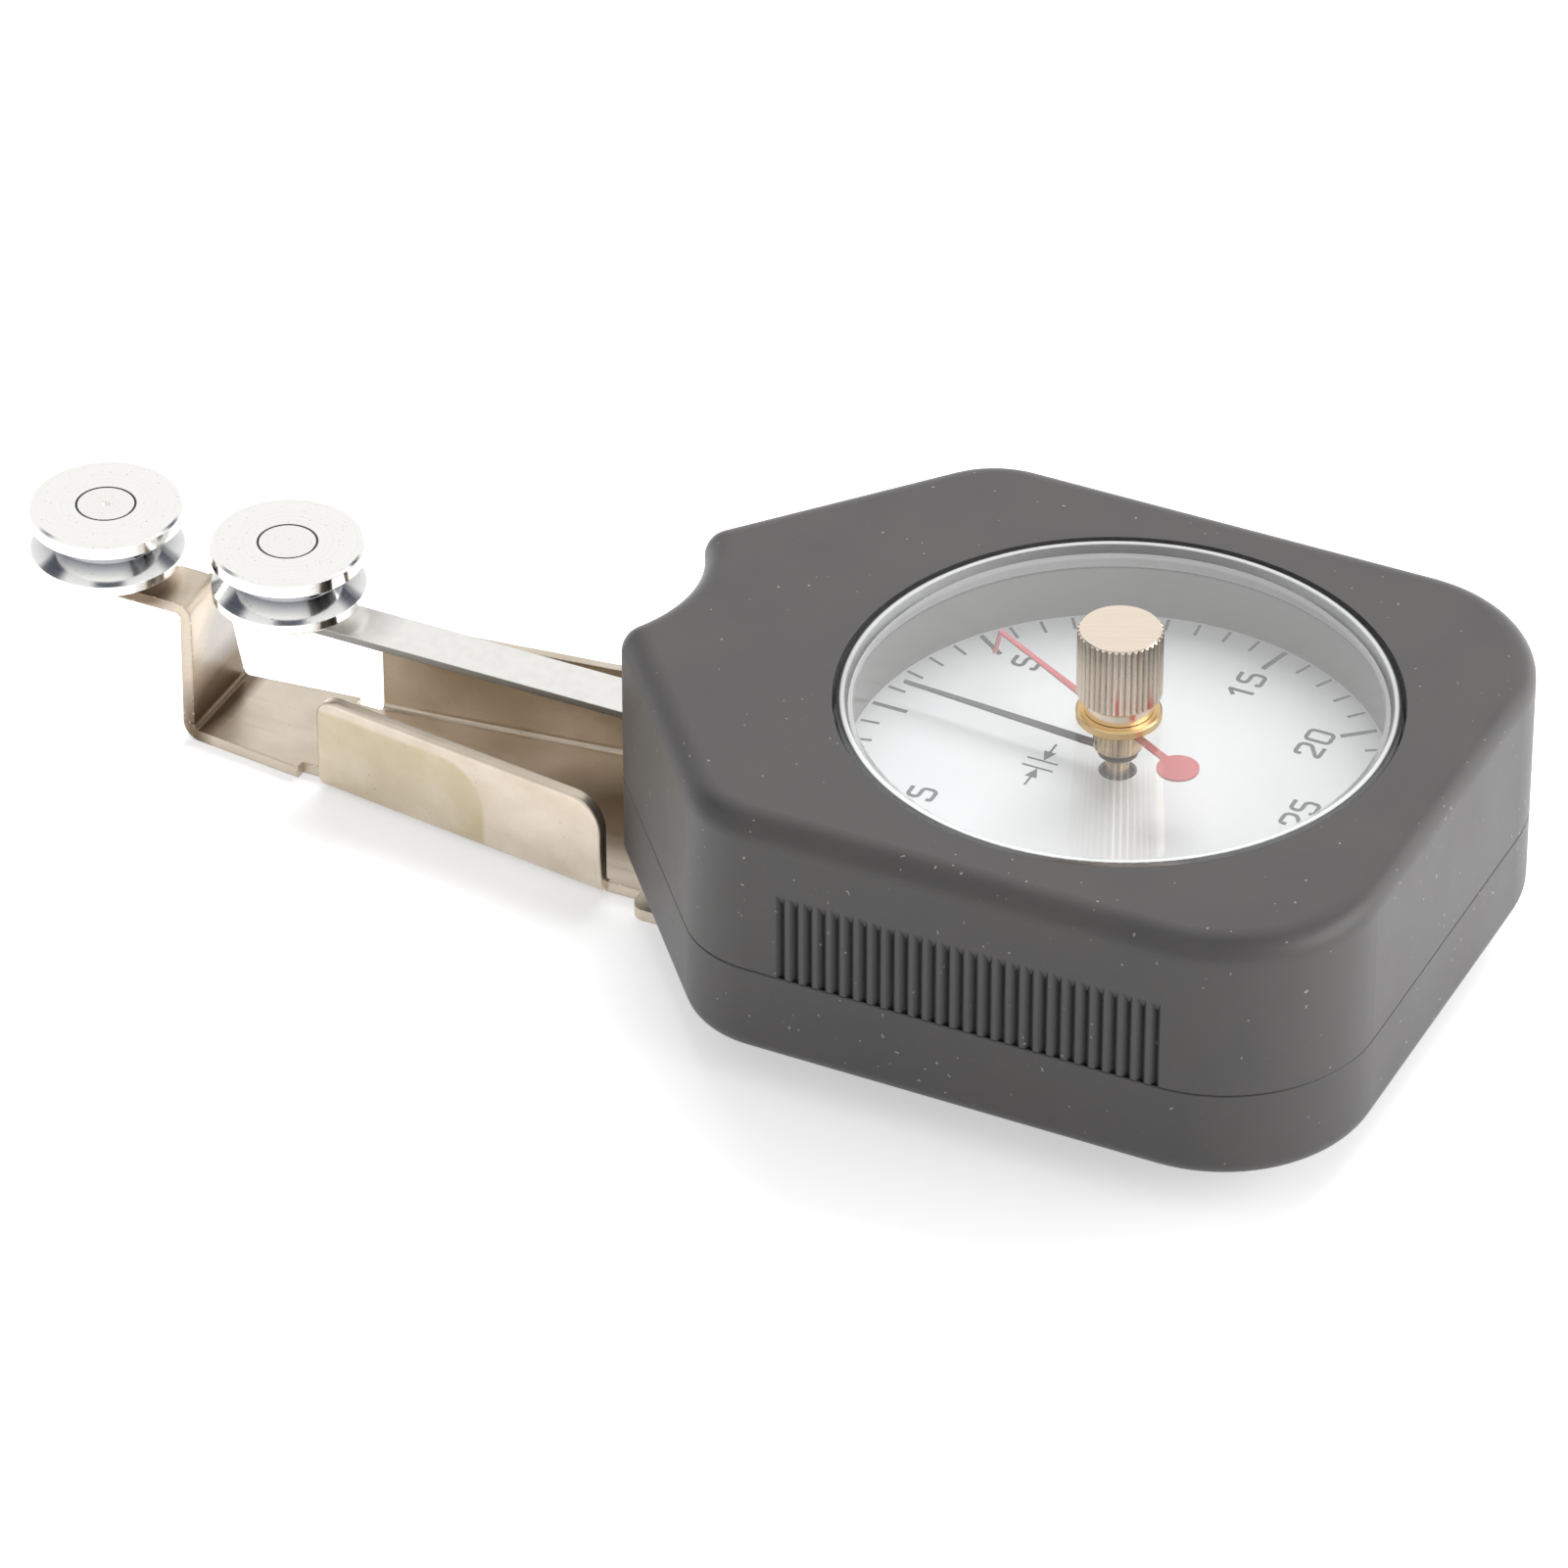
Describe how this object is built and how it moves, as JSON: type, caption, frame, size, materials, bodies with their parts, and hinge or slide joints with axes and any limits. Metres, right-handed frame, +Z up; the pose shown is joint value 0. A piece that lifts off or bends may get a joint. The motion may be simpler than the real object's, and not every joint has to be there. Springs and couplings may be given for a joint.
{
  "type": "dial tension gauge",
  "caption": "Pocket tension gauge: round dial with a main hand and a red peak hand, a knurled reset knob, and a sprung lever pulley beside a fixed pulley on a folded steel bracket.",
  "frame": {"origin": "on the dial axis, at the flat underside of the bracket plate that the gauge lies on", "axes": "+X from the pulleys to the rear of the case, +Y across the case, +Z up out of the dial"},
  "size_m": [0.1468, 0.0646, 0.0383],
  "materials": {
    "case_plastic": "moulded ABS, satin charcoal",
    "bracket_steel": "nickel-plated steel sheet with a warm tint",
    "standoff_steel": "plated",
    "screw_steel": "plated",
    "crystal": "clear acrylic",
    "gasket_rubber": "matt",
    "collar_brass": "turned",
    "dial_enamel": "smooth white",
    "dial_ink": "printed",
    "movement_brass": "satin",
    "bearing_bronze": "satin",
    "pivot_steel": "ground",
    "spring_steel": "tempered",
    "lever_steel": "bright rolled strip",
    "axle_aluminium": "turned",
    "washer_steel": "plain",
    "hand_black": "matt",
    "hand_red": "matt",
    "knob_nickel": "nickel plate with a warm tint",
    "pulley_aluminium": "bright turned"
  },
  "bodies": {
    "case": {"top_case": "case_plastic", "bottom_case": "case_plastic", "case_screws": "screw_steel", "bracket": "bracket_steel", "bracket_standoffs": "standoff_steel", "bracket_screws": "screw_steel", "crystal": "crystal", "crystal_gasket": "gasket_rubber", "knob_collar": "collar_brass", "dial_plate": "dial_enamel", "dial_scale": "dial_ink", "dial_feet": "movement_brass", "base_plate": "movement_brass", "top_plate": "movement_brass", "movement_pillars": "movement_brass", "plate_screws": "screw_steel", "mount_screws": "screw_steel", "staff_bushes": "bearing_bronze", "arbor_bushes": "bearing_bronze", "stop_pins": "pivot_steel", "measuring_spring": "spring_steel", "spring_post": "pivot_steel", "hairspring": "spring_steel", "hairspring_stud": "pivot_steel", "fixed_pulley_axle": "axle_aluminium", "fixed_pulley_washer": "washer_steel"},
    "lever": {"lever_arm": "lever_steel", "lever_hub": "movement_brass", "lever_rivets": "pivot_steel", "lever_staff": "pivot_steel", "spring_collet": "movement_brass", "sector_gear": "movement_brass", "lever_pulley_axle": "axle_aluminium", "lever_pulley_washer": "washer_steel"},
    "pointer": {"main_hand": "hand_black", "main_hand_bush": "knob_nickel", "pointer_arbor": "pivot_steel", "pinion": "pivot_steel", "hairspring_collet": "movement_brass"},
    "peak_pointer": {"reset_knob": "knob_nickel", "knob_stem": "knob_nickel", "peak_hand": "hand_red", "peak_hand_hub": "knob_nickel"},
    "fixed_pulley_group": {"fixed_pulley": "pulley_aluminium", "fixed_pulley_bush": "bearing_bronze"},
    "lever_pulley_group": {"lever_pulley": "pulley_aluminium", "lever_pulley_bush": "bearing_bronze"}
  },
  "joints": [
    {"name": "lever_swing", "type": "hinge", "parent": "case", "child": "lever", "pos_m": [-0.03, 0, 0.0148], "axis": [0, 0, 1], "range_deg": [-11.05, 10.6], "stiffness_Nm_per_rad": 0.076},
    {"name": "pointer_spin", "type": "hinge", "parent": "case", "child": "pointer", "pos_m": [0, 0, 0.024], "axis": [0, 0, 1], "range_deg": [-172, 179]},
    {"name": "peak_knob_turn", "type": "hinge", "parent": "case", "child": "peak_pointer", "pos_m": [0, 0, 0.0348], "axis": [0, 0, 1], "continuous": true},
    {"name": "fixed_pulley_spin", "type": "hinge", "parent": "case", "child": "fixed_pulley_group", "pos_m": [-0.106, -0.00185, 0.01935], "axis": [0, 0, 1], "continuous": true},
    {"name": "lever_pulley_spin", "type": "hinge", "parent": "lever", "child": "lever_pulley_group", "pos_m": [-0.08715, 0, 0.01935], "axis": [0, 0, 1], "continuous": true}
  ],
  "couplings": [
    {"joint": "pointer_spin", "follows": "lever_swing", "ratio": -16.143}
  ]
}
